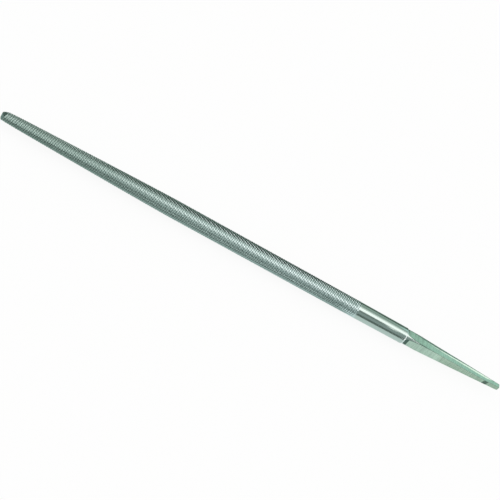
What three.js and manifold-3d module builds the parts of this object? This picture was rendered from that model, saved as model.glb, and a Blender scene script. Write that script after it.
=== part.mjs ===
// Round bastard file, 200 mm from point to shoulder, without a handle. Millimetres, +Z up.
// Its axis is X, with the point towards -X and the tang towards +X. The origin is the middle of the
// shoulder, where a handle ends and from where the file's length is measured.
// A file is one bar of tool steel. Its three zones are modelled as three solids that meet face to face
// where the maker's work changes: the toothed body, the plain ground shank and the square tang.

import * as THREE from 'three';
import { mergeVertices } from 'three/addons/utils/BufferGeometryUtils.js';
import Module from 'manifold-3d';

// Driving dimensions
const bodyLength = 200; // point to shoulder, the length that a file is sold by
const shankLength = 25; // plain stretch between the last teeth and the shoulder
const tangLength = 50;
const bellyDiameter = 8.3; // over the tooth crests, where the point's taper ends

// Toothed body
const taperLength = 82; // from the point to the belly
const taperFullnessShare = 1.21; // 1 is a straight cone, more is fuller
const pointDiameter = 5; // where the two sides of the taper would meet the end face
const noseLength = 13; // the rounded edge of the point, along the file
const noseDrop = 0.6; // the same edge, towards the axis
const heelRelief = 0.13; // how far the crests fall towards the axis from the belly to the last row
const toothPitch = 1; // from one row of teeth to the next
const toothSpacing = 1.45; // from tooth to tooth round the belly
const toothDepth = 0.4;
const crestPlaceShare = 0.28; // the crest's place in its row: teeth lean towards the point
const overcutSlopeShare = 0.58; // sideways run of the second cut's grooves for each length along the file
const pointFadeLength = 2; // the first rows are cut shallower
const heelFadeLength = 6; // and so are the last
const fadedDepthShare = 0.35;

// Shank
const shankStep = 0.1; // from the last crests down to the shank
const shankTaper = 0.14; // how far the shank falls towards the axis along its length
const shoulderStep = 0.3; // from the shank down to the tang's round root
const shoulderRoundLength = 0.9; // the shoulder's rounded edge, along the file
const shankSides = 60;

// Tang
const flatDepth = 0.5; // from the round root down to the flats, just behind the shoulder
const endFlats = 2; // across the flats at the tang's end
const runOutRadius = 2.3; // of the wheel that grinds the flats, where they end at the shoulder
const runOutLength = 1.2;
const endChamfer = 0.3;
const straightStartShare = 0.17; // of the tang's length: the flats are plane from here
const straightEndShare = 0.54; // to here
const straightStartFlatsShare = 0.717; // of the way from the end's flats to the root's
const straightEndFlatsShare = 0.417;
const blendControlShare = 0.55; // places of the curves' control points between their ends
const bellyControlShare = 0.48;
const overrun = 1; // how far a cutting block reaches past what it cuts
const tangSides = 72;
const curveSteps = 7;

// The bar's radii, from the belly to the tang, each taken from the one before it
const cutLength = bodyLength - shankLength;
const bellyRadius = bellyDiameter / 2;
const heelRadius = bellyRadius - heelRelief;
const shankFrontRadius = heelRadius - shankStep;
const shankRearRadius = shankFrontRadius - shankTaper;
const rootRadius = shankRearRadius - shoulderStep;

// Radius over the crests at a distance from the point
function crestRadius(x) {
  if (x > taperLength) {
    return bellyRadius - heelRelief * (x - taperLength) / (cutLength - taperLength);
  }
  const left = 1 - x / taperLength;
  const cone = bellyRadius - (bellyRadius - pointDiameter / 2) * Math.pow(left, taperFullnessShare);
  const intoNose = Math.max(0, 1 - x / noseLength);
  return cone - noseDrop * (1 - Math.sqrt(1 - intoNose * intoNose));
}

// Depth of the grooves at a distance from the point
function grooveDepth(x) {
  const fromEnd = Math.min(1, x / pointFadeLength, (cutLength - x) / heelFadeLength);
  return toothDepth * (fadedDepthShare + (1 - fadedDepthShare) * fromEnd);
}

// The double cut: rings of root points, and on every four of them one leaning pyramid, the tooth.
// One family of grooves runs round the file and the other along it, on a long helix.
function toothedBody() {
  const rows = Math.round(cutLength / toothPitch);
  const around = Math.round(Math.PI * bellyDiameter / toothSpacing);
  const rowLength = cutLength / rows;
  const step = 2 * Math.PI / around;
  const points = [];
  const faces = [];
  const addPoint = (x, radius, angle) => {
    points.push(x, radius * Math.cos(angle), radius * Math.sin(angle));
    return points.length / 3 - 1;
  };
  const addRing = (x, radius, turn) => {
    const ring = [];
    for (let j = 0; j < around; j += 1) {
      ring.push(addPoint(x, radius, turn + j * step));
    }
    return ring;
  };
  const sideRun = overcutSlopeShare * rowLength;
  let turn = 0;
  let before = addRing(0, crestRadius(0) - grooveDepth(0), turn);
  const pointCentre = addPoint(0, 0, 0);
  for (let j = 0; j < around; j += 1) {
    faces.push(pointCentre, before[(j + 1) % around], before[j]);
  }
  for (let row = 0; row < rows; row += 1) {
    const x = (row + 1) * rowLength;
    const crestX = (row + crestPlaceShare) * rowLength;
    const twist = sideRun / crestRadius(x);
    const after = addRing(x, crestRadius(x) - grooveDepth(x), turn + twist);
    const crests = addRing(crestX, crestRadius(crestX), turn + twist * crestPlaceShare + step / 2);
    for (let j = 0; j < around; j += 1) {
      const next = (j + 1) % around;
      faces.push(before[j], before[next], crests[j]);
      faces.push(before[next], after[next], crests[j]);
      faces.push(after[next], after[j], crests[j]);
      faces.push(after[j], before[j], crests[j]);
    }
    before = after;
    turn += twist;
  }
  const heelCentre = addPoint(cutLength, 0, 0);
  for (let j = 0; j < around; j += 1) {
    faces.push(heelCentre, before[j], before[(j + 1) % around]);
  }
  const geometry = new THREE.BufferGeometry();
  geometry.setAttribute('position', new THREE.Float32BufferAttribute(points, 3));
  geometry.setIndex(faces);
  return geometry;
}

// A profile of (radius, distance) points turned about the file's axis, which is X
function turned(profile, sides) {
  const geometry = new THREE.LatheGeometry(profile, sides);
  geometry.rotateZ(-Math.PI / 2);
  return geometry;
}

// The plain shank, ground a little smaller towards the shoulder, whose edge is rounded
function shank() {
  const roundStart = shankLength - shoulderRoundLength;
  const quarter = Math.PI / 2;
  const edge = new THREE.EllipseCurve(rootRadius, roundStart, shoulderStep, shoulderRoundLength, 0, quarter);
  return turned([
    new THREE.Vector2(0, 0),
    new THREE.Vector2(shankFrontRadius, 0),
    ...edge.getPoints(curveSteps),
    new THREE.Vector2(0, shankLength),
  ], shankSides);
}

// A closed geometry as a solid that can be cut
function solidOf(wasm, geometry) {
  const bare = geometry.clone();
  bare.deleteAttribute('normal');
  bare.deleteAttribute('uv');
  const merged = mergeVertices(bare);
  const corners = [];
  const index = merged.index.array;
  for (let i = 0; i < index.length; i += 3) {
    const [a, b, c] = [index[i], index[i + 1], index[i + 2]];
    if (a !== b && b !== c && c !== a) {
      corners.push(a, b, c);
    }
  }
  const mesh = new wasm.Mesh({
    numProp: 3,
    vertProperties: new Float32Array(merged.attributes.position.array),
    triVerts: new Uint32Array(corners),
  });
  return new wasm.Manifold(mesh);
}

function geometryOf(solid) {
  const mesh = solid.getMesh();
  const geometry = new THREE.BufferGeometry();
  geometry.setAttribute('position', new THREE.BufferAttribute(mesh.vertProperties, 3));
  geometry.setIndex(new THREE.BufferAttribute(mesh.triVerts, 1));
  return geometry;
}

// The block that one pair of flats leaves: it runs out in a hollow at the shoulder, is plane along the
// middle and draws in to the end
function flatsBlock() {
  const root = rootRadius - flatDepth;
  const end = endFlats / 2;
  const startX = tangLength * straightStartShare;
  const endX = tangLength * straightEndShare;
  const startY = end + (root - end) * straightStartFlatsShare;
  const endY = end + (root - end) * straightEndFlatsShare;
  const slope = (endY - startY) / (endX - startX);
  const blendX = runOutLength + (startX - runOutLength) * blendControlShare;
  const bellyX = endX + (tangLength - endX) * bellyControlShare;
  const sweep = Math.asin(runOutLength / runOutRadius);
  const sideOf = (side) => {
    const path = new THREE.Path();
    const arcEnd = -Math.PI / 2 * side;
    const arcStart = arcEnd - sweep * side;
    path.absarc(runOutLength, side * (root + runOutRadius), runOutRadius, arcStart, arcEnd, side < 0);
    path.quadraticCurveTo(blendX, side * (startY + slope * (blendX - startX)), startX, side * startY);
    path.lineTo(endX, side * endY);
    path.quadraticCurveTo(bellyX, side * (endY + slope * (bellyX - endX)), tangLength, side * end);
    return path.getPoints(curveSteps);
  };
  const outline = new THREE.Shape([...sideOf(1), ...sideOf(-1).reverse()]);
  const width = 2 * (rootRadius + overrun);
  const block = new THREE.ExtrudeGeometry(outline, { depth: width, bevelEnabled: false });
  return block.translate(0, 0, -width / 2);
}

// The tang: a round root with four flats ground on it, which meet in sharp edges once they are deep
// enough to leave none of the round
function tang(wasm) {
  const end = endFlats / 2;
  const round = turned([
    new THREE.Vector2(0, 0),
    new THREE.Vector2(rootRadius, 0),
    new THREE.Vector2(rootRadius, tangLength * straightEndShare),
    new THREE.Vector2(end + 2 * endChamfer, tangLength - endChamfer),
    new THREE.Vector2(end + endChamfer, tangLength),
    new THREE.Vector2(0, tangLength),
  ], tangSides);
  const upright = flatsBlock();
  const level = flatsBlock().rotateX(Math.PI / 2);
  const solid = solidOf(wasm, round).intersect(solidOf(wasm, upright)).intersect(solidOf(wasm, level));
  return geometryOf(solid);
}

const wasm = await Module();
wasm.setup();

const cutSteel = new THREE.MeshStandardMaterial({ color: '#8fa8a2', roughness: 0.42, metalness: 1 });
const groundSteel = new THREE.MeshStandardMaterial({ color: '#a9bfb8', roughness: 0.24, metalness: 1 });
const tangSteel = new THREE.MeshStandardMaterial({ color: '#9db8a6', roughness: 0.34, metalness: 1 });

const file = new THREE.Group();
const zones = [
  ['cut_body', toothedBody(), cutSteel, 0],
  ['shank', shank(), groundSteel, cutLength],
  ['tang', tang(wasm), tangSteel, bodyLength],
];
for (const [name, geometry, material, x] of zones) {
  const mesh = new THREE.Mesh(geometry, material);
  mesh.name = name;
  mesh.position.x = x;
  file.add(mesh);
}

file.position.x = -bodyLength;

export default file;
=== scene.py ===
import bmesh
import bpy
import math
from mathutils import Matrix, Vector


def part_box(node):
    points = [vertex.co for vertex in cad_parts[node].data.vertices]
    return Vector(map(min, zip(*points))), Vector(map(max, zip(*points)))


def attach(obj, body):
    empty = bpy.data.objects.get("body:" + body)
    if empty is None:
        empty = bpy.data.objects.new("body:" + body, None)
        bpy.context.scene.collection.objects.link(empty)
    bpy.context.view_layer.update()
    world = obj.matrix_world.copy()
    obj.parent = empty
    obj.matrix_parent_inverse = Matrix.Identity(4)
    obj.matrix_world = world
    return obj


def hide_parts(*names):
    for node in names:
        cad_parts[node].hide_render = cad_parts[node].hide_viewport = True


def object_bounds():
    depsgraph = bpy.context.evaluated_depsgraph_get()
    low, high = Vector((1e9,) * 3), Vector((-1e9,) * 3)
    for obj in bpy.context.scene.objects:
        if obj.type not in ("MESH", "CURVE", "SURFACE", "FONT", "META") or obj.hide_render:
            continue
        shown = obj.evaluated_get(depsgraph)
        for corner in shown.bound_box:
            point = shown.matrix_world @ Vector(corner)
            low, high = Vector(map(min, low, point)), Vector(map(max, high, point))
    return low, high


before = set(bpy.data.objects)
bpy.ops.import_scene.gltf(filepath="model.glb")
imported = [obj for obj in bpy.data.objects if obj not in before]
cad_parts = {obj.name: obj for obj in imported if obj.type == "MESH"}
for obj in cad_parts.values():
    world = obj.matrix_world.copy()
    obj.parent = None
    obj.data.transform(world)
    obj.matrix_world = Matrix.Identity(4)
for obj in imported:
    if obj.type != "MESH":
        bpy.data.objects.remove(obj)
cad_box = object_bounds()

# Camera
# It looks down on the middle of the file from the front, a little from the point's side, and is rolled
# until the file falls away to the right. The file's axis is the X axis of the frame.
middle_x = (cad_box[0][0] + cad_box[1][0]) / 2
sight_shift = 0.00465
sight_lift = 0.00038
camera_distance = 0.6
camera_rise = math.radians(43)
camera_lead = math.radians(10.32)
image_fall = math.radians(28.82)
back = Vector((
    -math.sin(camera_lead),
    -math.cos(camera_lead) * math.cos(camera_rise),
    math.cos(camera_lead) * math.sin(camera_rise),
))
along_image = (Vector((1, 0, 0)) - back.x * back).normalized()
across_image = back.cross(along_image)
right = math.cos(image_fall) * along_image + math.sin(image_fall) * across_image
up = back.cross(right)
sight = Vector((middle_x - sight_shift, 0, 0)) + sight_lift * up
camera_data = bpy.data.cameras.new("camera")
camera_data.lens = 99.73
camera_data.clip_end = 20
camera = bpy.data.objects.new("camera", camera_data)
turned_camera = Matrix((right, up, back)).transposed().to_4x4()
camera.matrix_world = Matrix.Translation(sight + camera_distance * back) @ turned_camera
bpy.context.collection.objects.link(camera)
bpy.context.scene.camera = camera

# Toothed body
# The cutting length of the bar: hardened carbon tool steel, double cut. Each tooth is a small leaning
# pyramid that two families of chiselled grooves leave between them, one close to square across the file
# and one on a long helix.
low, high = (Vector(corner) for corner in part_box("cut_body"))
body_length = high.x - low.x
belly_radius = (high.z - low.z) / 2
taper_length = 0.082
taper_fullness = 1.21
point_radius = 0.00238
nose_length = 0.012
nose_drop = 0.0003
end_round = 0.0012
end_drop = 0.0006
heel_relief = 0.00013
weld_distance = 1e-6

# The cut square across: rows on four starts, and a tooth's profile from one groove to the next, as shares
# of the pitch and of the depth
row_pitch = 0.00088
row_starts = 4
row_depth = 0.00022
row_shares = (0, 0.14, 0.26, 0.5, 0.75)
row_heights = (0, 0.75, 1, 0.72, 0.45)

# The cut on a helix, and a tooth's profile from groove to groove round the file
helix_starts = 20
helix_angle = math.radians(28.3)
helix_step = 0.0005
helix_depth = 0.0001
helix_shares = (0, 0.27, 0.53, 0.8)
helix_heights = (0, 0.4, 0.72, 1)

# The first and last rows are cut shallower, and no two teeth beside each other are quite as high
point_fade = 0.002
heel_fade = 0.002
faded_share = 0.6
uneven_share = 0.1
uneven_round = 12.99
uneven_along = 78.2

# The skin starts a row before the point and reaches past the heel, and is cut off square at both
spare_rows = 2
rows_long = math.ceil(body_length / row_pitch) + row_starts + spare_rows
rings_a_row = len(row_shares)
columns_a_tooth = len(helix_shares)
columns_round = helix_starts * columns_a_tooth

# Colours blend in a mix node: input 0 is the share, 6 and 7 are the colours, and output 2 is the result
colour_mix = {"data_type": "RGBA"}

# Near the point the crests are painted darker, a painted shade for the dimmer light there, and the steel is
# rougher;
# everywhere it has patches, a little brighter or greyer and about 4.5 mm wide, which is 220 to the metre
body_patches = 220
darkest_x = low.x + 0.02
brightest_x = low.x + 0.14
smoothest_x = low.x + 0.13


def linear(hex_colour):
    """An sRGB hex colour as linear red, green, blue and alpha"""
    channels = [int(hex_colour[i:i + 2], 16) / 255 for i in (1, 3, 5)]
    return [c / 12.92 if c <= 0.04045 else ((c + 0.055) / 1.055) ** 2.4 for c in channels] + [1]


def add_node(tree, kind, settings=None, inputs=None):
    """A node with its settings; an input is a value, or another node's output that is linked to it"""
    node = tree.nodes.new(kind)
    for name, value in (settings or {}).items():
        setattr(node, name, value)
    for name, value in (inputs or {}).items():
        if isinstance(value, bpy.types.NodeSocket):
            tree.links.new(value, node.inputs[name])
        else:
            node.inputs[name].default_value = value
    return node


def new_material(name):
    """An empty node material and its output node"""
    material = bpy.data.materials.new(name)
    material.use_nodes = True
    material.node_tree.nodes.clear()
    return material, add_node(material.node_tree, "ShaderNodeOutputMaterial")


def tube(rows, columns, place, mark):
    """A grid wrapped into a tube: `place` gives each row and column its corner and the value of its mark"""
    mesh = bmesh.new()
    bmesh.ops.create_grid(mesh, x_segments=rows, y_segments=columns, size=0.5)
    layer = mesh.verts.layers.float.new(mark)
    for corner in mesh.verts:
        row, column = round((corner.co.x + 0.5) * rows), round((corner.co.y + 0.5) * columns)
        corner.co, corner[layer] = place(row, column)
    bmesh.ops.remove_doubles(mesh, verts=mesh.verts, dist=weld_distance)
    return mesh


def close_ends(mesh):
    """Fills the open ends and points every face outwards"""
    rims = [edge for edge in mesh.edges if edge.is_boundary]
    bmesh.ops.holes_fill(mesh, edges=rims, sides=0)
    bmesh.ops.recalc_face_normals(mesh, faces=mesh.faces)


def finish_piece(mesh, name, material, node, sharp_angle):
    """Makes the object and says what it rides on, replaces and takes its finish from"""
    data = bpy.data.meshes.new(name)
    for face in mesh.faces:
        face.smooth = True
    for edge in mesh.edges:
        edge.smooth = edge.calc_face_angle(math.pi) < sharp_angle
    mesh.to_mesh(data)
    mesh.free()
    data.materials.append(material)
    piece = bpy.data.objects.new(name, data)
    bpy.context.collection.objects.link(piece)
    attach(piece, "root")
    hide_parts(node)
    return piece


def crest_radius(along):
    """Radius over the crests at a distance from the point"""
    if along > taper_length:
        return belly_radius - heel_relief * (along - taper_length) / (body_length - taper_length)
    left = 1 - max(0, along) / taper_length
    cone = belly_radius - (belly_radius - point_radius) * left ** taper_fullness
    into_nose = min(1, max(0, 1 - along / nose_length))
    into_end = min(1, max(0, 1 - along / end_round))
    drop = nose_drop * (1 - math.sqrt(1 - into_nose ** 2)) + end_drop * (1 - math.sqrt(1 - into_end ** 2))
    return cone - drop


def share_between(shares, heights, place):
    """Reads the height at a place between 0 and 1 off a tooth's profile, whose two ends are at the root"""
    ends = [*zip(shares, heights), (1, 0)]
    for (start, first), (end, last) in zip(ends[:-1], ends[1:]):
        if place <= end:
            return first + (last - first) * (place - start) / (end - start)
    return 0


def helix_turns(length):
    """How far the helix has turned at steps along the file"""
    turns = [0]
    while len(turns) * helix_step < length + helix_step:
        middle = (len(turns) - 0.5) * helix_step
        turns.append(turns[-1] + helix_step * math.tan(helix_angle) / crest_radius(middle))
    return turns


turn_table = helix_turns(body_length)
last_turn = len(turn_table) - 1
table_margin = 0.001


def helix_turn(along):
    """The helix's turn at any distance, between the steps"""
    place = min(max(along / helix_step, 0), last_turn - table_margin)
    whole = int(place)
    return turn_table[whole] + (turn_table[whole + 1] - turn_table[whole]) * (place - whole)


def toothed_corner(ring, column):
    """The place of one corner of the toothed skin, and how deep it lies in the grooves"""
    row = ring // rings_a_row - 1
    row_share = row_shares[ring % rings_a_row]
    tooth = column // columns_a_tooth
    helix_share = helix_shares[column % columns_a_tooth]
    around = (tooth + helix_share) / helix_starts
    along = (row + row_share + row_starts * (1 - around)) * row_pitch
    angle = 2 * math.pi * around + helix_turn(along)
    helix_height = share_between(helix_shares, helix_heights, helix_share)
    row_height = share_between(row_shares, row_heights, row_share)
    rows_fade = min(1, max(0, along) / point_fade, max(0, body_length - along) / heel_fade)
    depth_share = faded_share + (1 - faded_share) * rows_fade
    wave = math.sin(uneven_round * (tooth % helix_starts) + uneven_along * row)
    uneven = 1 - uneven_share + uneven_share * wave
    depth = row_depth * (1 - row_height * uneven) + helix_depth * (1 - helix_height)
    sunk = depth * depth_share
    radius = crest_radius(along) - sunk
    corner = Vector((low.x + along, radius * math.cos(angle), radius * math.sin(angle)))
    return corner, sunk / (row_depth + helix_depth)


def cut_steel():
    """Hardened tool steel as the chisel left it: bright crests, grooves greyed by oil and painted shade,
    painted shade near the point, a faint green cast
    """
    material, output = new_material("cut_tool_steel")
    tree = material.node_tree
    place = add_node(tree, "ShaderNodeTexCoord").outputs["Object"]
    patches = {"Vector": place, "Scale": body_patches, "Detail": 3}
    patchy = add_node(tree, "ShaderNodeTexNoise", None, patches).outputs["Fac"]
    along = add_node(tree, "ShaderNodeSeparateXYZ", None, {"Vector": place}).outputs["X"]
    # Painted shade: towards the point the crests are painted darker, towards #B0C1B8, for the dimmer light
    # there
    point_shade_range = {"Value": along, "From Min": darkest_x, "From Max": brightest_x, "To Min": 0.9, "To Max": 0}
    point_shade = add_node(tree, "ShaderNodeMapRange", None, point_shade_range).outputs[0]
    steels = {0: patchy, 6: linear("#DAE9E6"), 7: linear("#E6F1F1")}
    bright = add_node(tree, "ShaderNodeMix", colour_mix, steels).outputs[2]
    crests = {0: point_shade, 6: bright, 7: linear("#B0C1B8")}
    crest = add_node(tree, "ShaderNodeMix", colour_mix, crests).outputs[2]
    # Painted shade, with oil: the grooves are painted greyer, towards #6E8482, the deeper they lie
    depth = add_node(tree, "ShaderNodeAttribute", {"attribute_name": "groove"}).outputs["Fac"]
    grooves = {"Value": depth, "From Min": 0.4, "From Max": 0.95}
    shade = add_node(tree, "ShaderNodeMapRange", None, grooves).outputs[0]
    shaded = {0: shade, 6: crest, 7: linear("#6E8482")}
    colour = add_node(tree, "ShaderNodeMix", colour_mix, shaded).outputs[2]
    gloss = {"Value": along, "From Min": low.x, "From Max": smoothest_x, "To Min": 0.34, "To Max": 0.28}
    rough = add_node(tree, "ShaderNodeMapRange", None, gloss).outputs[0]
    steel = {"Base Color": colour, "Metallic": 1, "Roughness": rough}
    surface = add_node(tree, "ShaderNodeBsdfPrincipled", None, steel)
    tree.links.new(surface.outputs["BSDF"], output.inputs["Surface"])
    return material


skin = tube(rows_long * rings_a_row, columns_round, toothed_corner, "groove")
for end_x, outwards in ((low.x, -1), (high.x, 1)):
    parts = skin.verts[:] + skin.edges[:] + skin.faces[:]
    sawn = {"plane_co": (end_x, 0, 0), "plane_no": (outwards, 0, 0), "clear_outer": True}
    bmesh.ops.bisect_plane(skin, geom=parts, **sawn)
close_ends(skin)
finish_piece(skin, "toothed_body", cut_steel(), "cut_body", 0)

# Shank
# The plain stretch behind the teeth, of the same bar: ground round, a little smaller towards the shoulder,
# whose rounded edge carries a painted highlight in a near-white steel.
shank_low, shank_high = (Vector(corner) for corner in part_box("shank"))
shank_front_radius = (shank_high.z - shank_low.z) / 2
shank_taper = 0.00014
shoulder_step = 0.0003
shoulder_round = 0.00058
shoulder_fullness = 1.15
edge_steps = 10
turn_steps = 160
crease_angle = math.radians(20)
rear_radius = shank_front_radius - shank_taper
root_radius = rear_radius - shoulder_step


def bare_steel(name, hex_colour, roughness):
    """Bare hardened steel, ground or polished fine enough to show long bands of light and dark"""
    material, output = new_material(name)
    tree = material.node_tree
    steel = {"Base Color": linear(hex_colour), "Metallic": 1, "Roughness": roughness}
    surface = add_node(tree, "ShaderNodeBsdfPrincipled", None, steel)
    tree.links.new(surface.outputs["BSDF"], output.inputs["Surface"])
    return material


def shank_profile():
    """Corners from the front face's centre out, along the shank, round its edge and in to the axis"""
    corners = [(shank_low.x, 0), (shank_low.x, shank_front_radius)]
    for step in range(edge_steps + 1):
        share = step / edge_steps
        radius = rear_radius - shoulder_step * share ** shoulder_fullness
        corners.append((shank_high.x - shoulder_round * (1 - share), radius))
    return corners + [(shank_high.x, 0)]


turned = bmesh.new()
profile = [turned.verts.new((x, 0, radius)) for x, radius in shank_profile()]
profile_edges = [turned.edges.new(pair) for pair in zip(profile[:-1], profile[1:])]
spun = {"cent": (0, 0, 0), "axis": (1, 0, 0), "angle": 2 * math.pi, "steps": turn_steps, "use_merge": True}
bmesh.ops.spin(turned, geom=profile + profile_edges, **spun)
bmesh.ops.remove_doubles(turned, verts=turned.verts, dist=weld_distance)
bmesh.ops.recalc_face_normals(turned, faces=turned.faces)
# Painted highlight: the faces of the shoulder's rounded edge take a near-white steel, #F8FCFA
for face in turned.faces:
    if face.calc_center_median().x > shank_high.x - shoulder_round:
        face.material_index = 1
shank_steel = bare_steel("ground_tool_steel", "#CBD6D0", roughness=0.16)
ground_shank = finish_piece(turned, "ground_shank", shank_steel, "shank", crease_angle)
ground_shank.data.materials.append(bare_steel("painted_highlight_edge_steel", "#F8FCFA", roughness=0.2))

# Tang
# The tail that a handle is driven on to: the same bar drawn down to a taper and left soft. Four flats are
# ground across it, which leave narrow wedges of its round root at the corners.
tang_low, tang_high = (Vector(corner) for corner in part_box("tang"))
tang_length = tang_high.x - tang_low.x
flat_depth = 0.0005
root_half = root_radius - flat_depth
end_half = 0.001
run_out_radius = 0.0023
run_out_length = 0.0012
blend_share = 0.55
belly_share = 0.48
corner_round = 0.00005
flat_columns = 24
corner_columns = 10
side_columns = flat_columns + corner_columns
end_chamfer = 0.0003

# The skin's four sides are counted from the back one, and each is a flat with the corner that follows it
top_side = 1
front_side = 2

# The nick in the front flat: where it starts and ends, and how far it leans
nick_start = 0.0418
nick_end = 0.0442
nick_slope = 0.0003
nick_depth = 0.00012
nick_slant = 0.00035
nick_low = nick_start - nick_slant
nick_high = nick_end + nick_slant

# The top flat's back strip and the lip beside it: widths at distances behind the shoulder
back_strips = (
    (0.001, 0.0002), (0.008, 0.0011), (0.014, 0.0013), (0.019, 0.0012),
    (0.026, 0.00085), (0.033, 0.0005), (0.04, 0.00026), (0.05, 0.0002),
)
lip_widths = ((0.009, 0), (0.02, 0.0003), (0.03, 0.00055), (0.037, 0.0007), (0.043, 0.0006), (0.046, 0))
widest_share = 0.6
strip_columns = 4
strip_slope = 0.1
lip_slope = 0.5

# Painted shade, dark on the steel: in the run-out, thinner on the back strip, in the nick, and in a line
# along the front ridge
painted_shade_end = 0.0019
painted_shade_edge = 0.0001
strip_painted_shade = 0.45
nick_painted_shade = 0.85
ridge_columns = 1
ridge_painted_shades = ((0.001, 0), (0.002, 0.8), (0.009, 0.7), (0.015, 0.3), (0.05, 0.35))

# Grinding lines: 60 grit leaves them 0.25 mm apart, and they are drawn 0.45 mm apart to show
grit_spacing = 0.00045
grit_stretch = 0.06
grit_depth = 0.00001

# Patches of a brighter or greyer grind, about 11 mm wide: 90 to the metre
tang_patches = 90


def plane_point(length_share, height_share):
    """An end of a flat's plane stretch: how far it is behind the shoulder and from the axis"""
    return length_share * tang_length, end_half + height_share * (root_half - end_half)


plane_start = plane_point(length_share=0.17, height_share=0.717)
plane_end = plane_point(length_share=0.54, height_share=0.417)
plane_slope = (plane_end[1] - plane_start[1]) / (plane_end[0] - plane_start[0])


def curve_height(start, control, end, along):
    """Height of a curve through two points, drawn towards a third, at a distance along the tang"""
    bend = start[0] - 2 * control[0] + end[0]
    lead = 2 * (control[0] - start[0])
    share = (math.sqrt(lead * lead - 4 * bend * (start[0] - along)) - lead) / (2 * bend)
    return (1 - share) ** 2 * start[1] + 2 * share * (1 - share) * control[1] + share ** 2 * end[1]


def flat_half(along):
    """From the axis to a flat, at a distance behind the shoulder: a hollow run-out, a plane, a drawn end"""
    if along < run_out_length:
        return root_half + run_out_radius - math.sqrt(run_out_radius ** 2 - (run_out_length - along) ** 2)
    if along < plane_start[0]:
        control_x = run_out_length + (plane_start[0] - run_out_length) * blend_share
        control = (control_x, plane_start[1] + plane_slope * (control_x - plane_start[0]))
        return curve_height((run_out_length, root_half), control, plane_start, along)
    if along < plane_end[0]:
        return plane_start[1] + plane_slope * (along - plane_start[0])
    control_x = plane_end[0] + (tang_length - plane_end[0]) * belly_share
    control = (control_x, plane_end[1] + plane_slope * (control_x - plane_end[0]))
    return curve_height(plane_end, control, (tang_length, end_half), along)


def read_table(table, along):
    """The value at a distance, on straight lines between the table's points"""
    for (start, first), (end, last) in zip(table[:-1], table[1:]):
        if along <= end:
            return first + (last - first) * max(0, along - start) / (end - start)
    return table[-1][1]


def top_shares(along, half):
    """Widths of the top flat's back strip and of the lip beside it, as shares of half the tang"""
    widths = (read_table(table, along) for table in (back_strips, lip_widths))
    return [min(widest_share, width / half) for width in widths]


def top_relief(along, half, share):
    """How far the top flat leaves its plane: it falls away in the back strip, and drops at the lip"""
    strip, lip = top_shares(along, half)
    crest = 1 - strip
    if share > crest:
        return -strip_slope * (share - crest) * half
    return -lip_slope * min(lip, crest - share) * half


def flat_share(side, place, along, half):
    """Where a column stands across its flat, from -1 to 1; on the top flat they follow strip and lip"""
    if side != top_side:
        return 2 * place / flat_columns - 1
    strip, lip = top_shares(along, half)
    if place <= strip_columns:
        return -1 + strip * place / strip_columns
    if place <= 2 * strip_columns:
        return -1 + strip + lip * (place / strip_columns - 1)
    left = (place - 2 * strip_columns) / (flat_columns - 2 * strip_columns)
    return -1 + strip + lip + (2 - strip - lip) * left


def tang_stations():
    """Places of the rings behind the shoulder: a stretch's start and end, and its number of steps"""
    stretches = (
        (0, run_out_length, 12),
        (run_out_length, painted_shade_end, 4),
        (painted_shade_end, plane_start[0], 18),
        (plane_start[0], plane_end[0], 16),
        (plane_end[0], nick_low, 20),
        (nick_low, nick_high, 14),
        (nick_high, tang_length - end_chamfer, 12),
    )
    places = []
    for start, end, steps in stretches:
        places += [start + (end - start) * step / steps for step in range(steps)]
    return places + [tang_length - end_chamfer, tang_length]


stations = tang_stations()


def tang_painted_shade(side, place, along, nicked):
    """How much painted shade lies on a corner of the skin, from 0 to 1"""
    ridge = read_table(ridge_painted_shades, along)
    if side == front_side and place <= flat_columns:
        run_out = min(1, max(0, (painted_shade_end - along) / painted_shade_edge))
        return max(nick_painted_shade * nicked, ridge if place <= ridge_columns else 0, run_out)
    if side == top_side and place <= strip_columns:
        return strip_painted_shade * min(1, along / painted_shade_end)
    if side == top_side and place >= flat_columns - ridge_columns:
        return ridge
    return 0


def tang_corner(ring, column):
    """The place of one corner of the tang's skin, on a flat or on the round between two, and its painted
    shade
    """
    along = stations[ring]
    half = flat_half(along) - (end_chamfer if along == tang_length else 0)
    side, place = divmod(column, side_columns)
    flat_edge = min(half - corner_round, math.sqrt(max(0, root_radius ** 2 - half ** 2)))
    if place <= flat_columns:
        out, across = half, flat_edge * flat_share(side, place, along, half)
    else:
        edge_angle = math.atan2(flat_edge, half)
        angle = edge_angle + (math.pi / 2 - 2 * edge_angle) * (place - flat_columns) / corner_columns
        centre = half - corner_round
        reach = centre * (math.cos(angle) + math.sin(angle))
        rounded = reach + math.sqrt(max(0, reach ** 2 - 2 * centre ** 2 + corner_round ** 2))
        radius = min(root_radius, rounded)
        out, across = radius * math.cos(angle), radius * math.sin(angle)
    turn = side * math.pi / 2
    y = out * math.cos(turn) - across * math.sin(turn)
    z = out * math.sin(turn) + across * math.cos(turn)
    z += top_relief(along, half, min(1, max(-1, y / flat_edge))) * min(1, max(0, z / half))
    nicked = 0
    if side == front_side and place <= flat_columns:
        slanted = along - nick_slant * z / half
        nicked = min(1, max(0, min(slanted - nick_start, nick_end - slanted) / nick_slope))
        y += nick_depth * nicked
    return Vector((tang_low.x + along, y, z)), tang_painted_shade(side, place, along, nicked)


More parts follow.
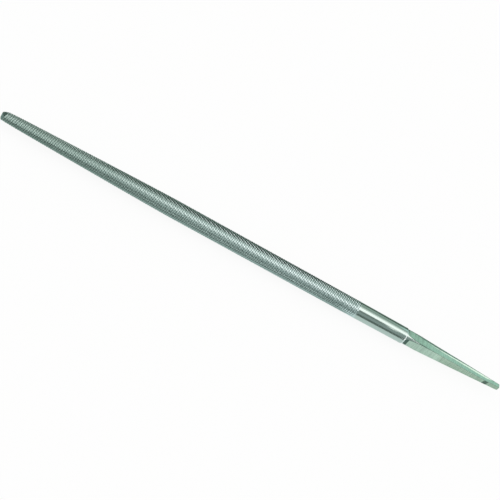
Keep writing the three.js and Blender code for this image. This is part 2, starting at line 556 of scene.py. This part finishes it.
def tang_steel():
    """Soft tool steel, ground across by hand: satin, with grinding lines, and painted shade in the run-out,
    nick, back strip and ridge
    """
    material, output = new_material("ground_tang_steel")
    tree = material.node_tree
    place = add_node(tree, "ShaderNodeTexCoord").outputs["Object"]
    stretched = {"Vector": place, "Scale": (1, grit_stretch, grit_stretch)}
    grit = add_node(tree, "ShaderNodeMapping", None, stretched).outputs[0]
    grains = {"Vector": grit, "Scale": 1 / grit_spacing, "Detail": 2}
    grain = add_node(tree, "ShaderNodeTexNoise", None, grains).outputs["Fac"]
    streaks = {"Value": grain, "From Min": 0.35, "From Max": 0.65}
    lines = add_node(tree, "ShaderNodeMapRange", None, streaks).outputs[0]
    patches = {"Vector": place, "Scale": tang_patches, "Detail": 2}
    patchy = add_node(tree, "ShaderNodeTexNoise", None, patches).outputs["Fac"]
    steels = {0: patchy, 6: linear("#C6DACA"), 7: linear("#D6EAD8")}
    clean = add_node(tree, "ShaderNodeMix", colour_mix, steels).outputs[2]
    ground_across = {0: lines, 6: clean, 7: linear("#BACBBD")}
    lined = add_node(tree, "ShaderNodeMix", colour_mix, ground_across).outputs[2]
    # Painted shade: the steel is painted dark, #5C7168, in the run-out, the nick, along the front ridge and
    # on the back strip
    painted_shade = add_node(tree, "ShaderNodeAttribute", {"attribute_name": "painted_shade"}).outputs["Fac"]
    painted_shade_mix = {0: painted_shade, 6: lined, 7: linear("#5C7168")}
    colour = add_node(tree, "ShaderNodeMix", colour_mix, painted_shade_mix).outputs[2]
    relief = {"Height": lines, "Strength": 0.5, "Distance": grit_depth}
    bump = add_node(tree, "ShaderNodeBump", None, relief).outputs[0]
    steel = {"Base Color": colour, "Metallic": 1, "Roughness": 0.29, "Normal": bump}
    surface = add_node(tree, "ShaderNodeBsdfPrincipled", None, steel)
    tree.links.new(surface.outputs["BSDF"], output.inputs["Surface"])
    return material


drawn = tube(len(stations) - 1, 4 * side_columns, tang_corner, "painted_shade")
close_ends(drawn)
for face in drawn.faces:
    if min(math.hypot(corner.co.y, corner.co.z) for corner in face.verts) > root_radius - weld_distance:
        face.material_index = 1
ground_tang = finish_piece(drawn, "ground_tang", tang_steel(), "tang", crease_angle)
ground_tang.data.materials.append(shank_steel)

# Studio
# A pale floor, and over the file a long half round tent of cloth, white overhead and grey low down. Cards
# on the floor and close over the file put the light and dark bands on the steel. Only gloss sees the
# tent and the cards.
floor_reach = 3
floor_height = -belly_radius
glow_share = 0.9
disc_sides = 64
tent_radius = 1.5
tent_length = 8
tent_steps = 90
lamp_strength = 1.5


def stage_object(name, mesh, material):
    """A floor or card that is not part of the file"""
    data = bpy.data.meshes.new(name)
    mesh.to_mesh(data)
    mesh.free()
    data.materials.append(material)
    stage = bpy.data.objects.new(name, data)
    bpy.context.collection.objects.link(stage)
    return stage


def seen_rays(tree):
    """1 on rays from the camera, off gloss and through glass"""
    rays = add_node(tree, "ShaderNodeLightPath").outputs
    two = {0: rays["Is Camera Ray"], 1: rays["Is Glossy Ray"]}
    either = add_node(tree, "ShaderNodeMath", {"operation": "MAXIMUM"}, two).outputs[0]
    three = {0: either, 1: rays["Is Transmission Ray"]}
    return add_node(tree, "ShaderNodeMath", {"operation": "MAXIMUM"}, three).outputs[0]


def floor_paper():
    """White paper: it glows where it is looked at, and a tenth of it takes a faint shadow under the file"""
    material, output = new_material("white_paper")
    tree = material.node_tree
    paper = add_node(tree, "ShaderNodeBsdfDiffuse", None, {"Color": linear("#F4F4F2")}).outputs[0]
    glow = add_node(tree, "ShaderNodeEmission", None, {"Color": (1, 1, 1, 1), "Strength": 1}).outputs[0]
    glowing = {0: seen_rays(tree), 1: glow_share}
    share = add_node(tree, "ShaderNodeMath", {"operation": "MULTIPLY"}, glowing).outputs[0]
    mixed = add_node(tree, "ShaderNodeMixShader", None, {0: share, 1: paper, 2: glow})
    tree.links.new(mixed.outputs[0], output.inputs["Surface"])
    return material


def card_paper(name, hex_colour, strength=1):
    """A card that glows with its own colour"""
    material, output = new_material(name)
    tree = material.node_tree
    glow = add_node(tree, "ShaderNodeEmission", None, {"Color": linear(hex_colour), "Strength": strength})
    tree.links.new(glow.outputs[0], output.inputs["Surface"])
    return material


def tent_cloth():
    """Bands of white and grey cloth along the tent, by the angle over the front horizon in degrees"""
    bands = (
        (0, "#5A6462"), (4, "#5A6462"), (9, "#7E8A88"), (27, "#7E8A88"),
        (34, "#788482"), (41, "#788482"), (48, "#808E8B"), (56, "#94A09C"),
        (62, "#FFFFFF"), (90, "#FAFCFB"), (95, "#C0C8C4"), (104, "#BAC6C0"),
        (113, "#8C9A93"), (125, "#66736B"), (138, "#4E5852"), (180, "#424E47"),
    )
    material, output = new_material("tent_cloth")
    tree = material.node_tree
    place = add_node(tree, "ShaderNodeTexCoord").outputs["Object"]
    parts = add_node(tree, "ShaderNodeSeparateXYZ", None, {"Vector": place}).outputs
    front = add_node(tree, "ShaderNodeMath", {"operation": "MULTIPLY"}, {0: parts["Y"], 1: -1}).outputs[0]
    angle = add_node(tree, "ShaderNodeMath", {"operation": "ARCTAN2"}, {0: parts["Z"], 1: front}).outputs[0]
    share = add_node(tree, "ShaderNodeMath", {"operation": "DIVIDE"}, {0: angle, 1: math.pi}).outputs[0]
    ramp = add_node(tree, "ShaderNodeValToRGB", None, {"Fac": share})
    stops = ramp.color_ramp.elements
    while len(stops) < len(bands):
        stops.new(1)
    for stop, (degrees, hex_colour) in zip(stops, bands):
        stop.position = degrees / 180
        stop.color = linear(hex_colour)
    cloth = {"Color": ramp.outputs["Color"], "Strength": lamp_strength}
    glow = add_node(tree, "ShaderNodeEmission", None, cloth)
    tree.links.new(glow.outputs[0], output.inputs["Surface"])
    return material


def only_in_gloss(stage):
    """The camera, the floor and the shadows pass through this card"""
    stage.visible_camera = False
    stage.visible_diffuse = False
    stage.visible_shadow = False


ground = bmesh.new()
bmesh.ops.create_circle(ground, cap_ends=True, segments=disc_sides, radius=floor_reach)
bmesh.ops.translate(ground, verts=ground.verts, vec=(middle_x, 0, floor_height))
stage_object("floor", ground, floor_paper())

tent = bmesh.new()
foot = [tent.verts.new((middle_x + side * tent_length / 2, -tent_radius, 0)) for side in (-1, 1)]
foot_edge = tent.edges.new(foot)
arched = {"cent": (0, 0, 0), "axis": (1, 0, 0), "angle": -math.pi, "steps": tent_steps}
bmesh.ops.spin(tent, geom=foot + [foot_edge], **arched)
only_in_gloss(stage_object("tent", tent, tent_cloth()))

# Where the cards on the floor change: along the file, and beside it from its front to its rear
far_left = -tent_length / 2
far_right = tent_length / 2
heel_start = -0.075
teeth_end = high.x - 0.004
shoulder_start = 0.018
tang_start = 0.021
shoulder_end = 0.045
front_edge = -0.05
tang_front = -0.035
body_front = -0.024
shank_near = -0.0145
tang_near = -0.0108
body_near = -0.0105
body_under = -0.0066
rear_edge = 0.021

# Each card's name, its two edges beside the file, its two ends along it, its colour and its strength
floor_cards = (
    ("front_card", front_edge, -tent_radius, teeth_end, far_right, "#606E6B", 1),
    ("body_far_card", body_front, -tent_radius, far_left, teeth_end, "#343F3A", 1),
    ("body_rear_card", rear_edge, tent_radius, far_left, heel_start, "#8AA498", 1),
    ("heel_rear_card", rear_edge, tent_radius, heel_start, teeth_end, "#2E3C35", 1),
    ("shank_rear_card", rear_edge, tent_radius, teeth_end, far_right, "#6E887A", 1),
    ("body_front_card", body_front, body_near, far_left, teeth_end, "#DCE8E4", 1),
    ("body_near_card", body_near, body_under, far_left, teeth_end, "#36423D", 1),
    ("body_under_card", body_under, rear_edge, far_left, teeth_end, "#AEBEBA", 1),
    ("shank_front_card", front_edge, shank_near, teeth_end, shoulder_start, "#67756F", 1),
    ("shank_card", shank_near, rear_edge, teeth_end, shoulder_start, "#D4E2E0", 1),
    ("shoulder_card", tang_front, tang_near, shoulder_start, shoulder_end, "#FFFFFF", lamp_strength),
    ("tang_front_card", front_edge, tang_front, shoulder_start, far_right, "#67756F", 1),
    ("tang_floor_card", tang_near, rear_edge, shoulder_start, tang_start, "#D4E2E0", 1),
    ("tang_end_card", tang_near, rear_edge, tang_start, far_right, "#C0CEC7", 1),
)
card_lift = 0.0002
for name, near, far, left, right, hex_colour, strength in floor_cards:
    card = bmesh.new()
    bmesh.ops.create_grid(card, x_segments=1, y_segments=1, size=0.5)
    for corner in card.verts:
        x, y = left if corner.co.x < 0 else right, near if corner.co.y < 0 else far
        corner.co = (x, y, floor_height + card_lift)
    bmesh.ops.recalc_face_normals(card, faces=card.faces)
    only_in_gloss(stage_object(name, card, card_paper(name, hex_colour, strength)))

# Small bent cards that hang close over the file: each one's name, its two ends along the file, its two
# angles over the front horizon in degrees, its colour and its strength
hung_cards = (
    ("tip_low_card", -0.21, -0.115, 0, 10, "#101814", 1),
    ("tip_front_card", -0.188, -0.12, 18, 40, "#F4FAF8", lamp_strength),
    ("tip_back_card", -0.185, -0.153, 98, 124, "#FFFFFF", lamp_strength),
    ("taper_back_card", -0.15, -0.112, 74, 112, "#C4D0CA", 1),
    ("belly_back_card", -0.112, -0.08, 86, 112, "#A4B0AA", 1),
    ("body_front_top_card", -0.12, -0.02, 20, 40, "#B0BCB8", 1),
    ("body_back_card", -0.14, -0.075, 128, 160, "#101814", 1),
    ("heel_back_card", -0.075, -0.0115, 118, 170, "#101814", 1),
    ("heel_front_card", -0.08, -0.02, 51, 62, "#FFFFFF", lamp_strength),
    ("shank_front_top_card", -0.01, 0.018, 40, 57, "#7A8884", 1),
    ("heel_top_card", -0.025, -0.012, 96, 116, "#FFFFFF", lamp_strength),
    ("shank_top_card", -0.0115, 0.028, 122, 151, "#A3B9AF", 1),
    ("tang_card", 0.028, 0.3, 122, 151, "#C4E6DF", 1),
    ("root_card", 0.023, 0.032, 43, 51, "#FFFFFF", lamp_strength),
)
hung_radius = 0.06
hung_steps = 12
for name, left, right, first_angle, last_angle, hex_colour, strength in hung_cards:
    card = bmesh.new()
    start, end = math.radians(first_angle), math.radians(last_angle)
    y, z = -math.cos(start) * hung_radius, math.sin(start) * hung_radius
    foot = [card.verts.new((x, y, z)) for x in (left, right)]
    foot_edge = card.edges.new(foot)
    bent = {"cent": (0, 0, 0), "axis": (1, 0, 0), "angle": start - end, "steps": hung_steps}
    bmesh.ops.spin(card, geom=foot + [foot_edge], **bent)
    only_in_gloss(stage_object(name, card, card_paper(name, hex_colour, strength)))

# The tent's two ends, grey beyond the point and white beyond the tang
upright = Matrix.Rotation(math.pi / 2, 3, "Y")
for side, hex_colour in ((-1, "#4A5652"), (1, "#F4FAF8")):
    end = bmesh.new()
    bmesh.ops.create_circle(end, cap_ends=True, segments=disc_sides, radius=tent_radius)
    bmesh.ops.rotate(end, verts=end.verts, cent=(0, 0, 0), matrix=upright)
    bmesh.ops.translate(end, verts=end.verts, vec=(middle_x + side * tent_length / 2, 0, 0))
    only_in_gloss(stage_object(f"end_card_{side}", end, card_paper("end_card", hex_colour)))

world = bpy.data.worlds.new("studio")
world.use_nodes = True
world.node_tree.nodes.clear()
sky = add_node(world.node_tree, "ShaderNodeBackground", None, {"Color": (1, 1, 1, 1), "Strength": 1})
add_node(world.node_tree, "ShaderNodeOutputWorld", None, {"Surface": sky.outputs[0]})
bpy.context.scene.world = world
bpy.context.scene.view_settings.view_transform = "Standard"
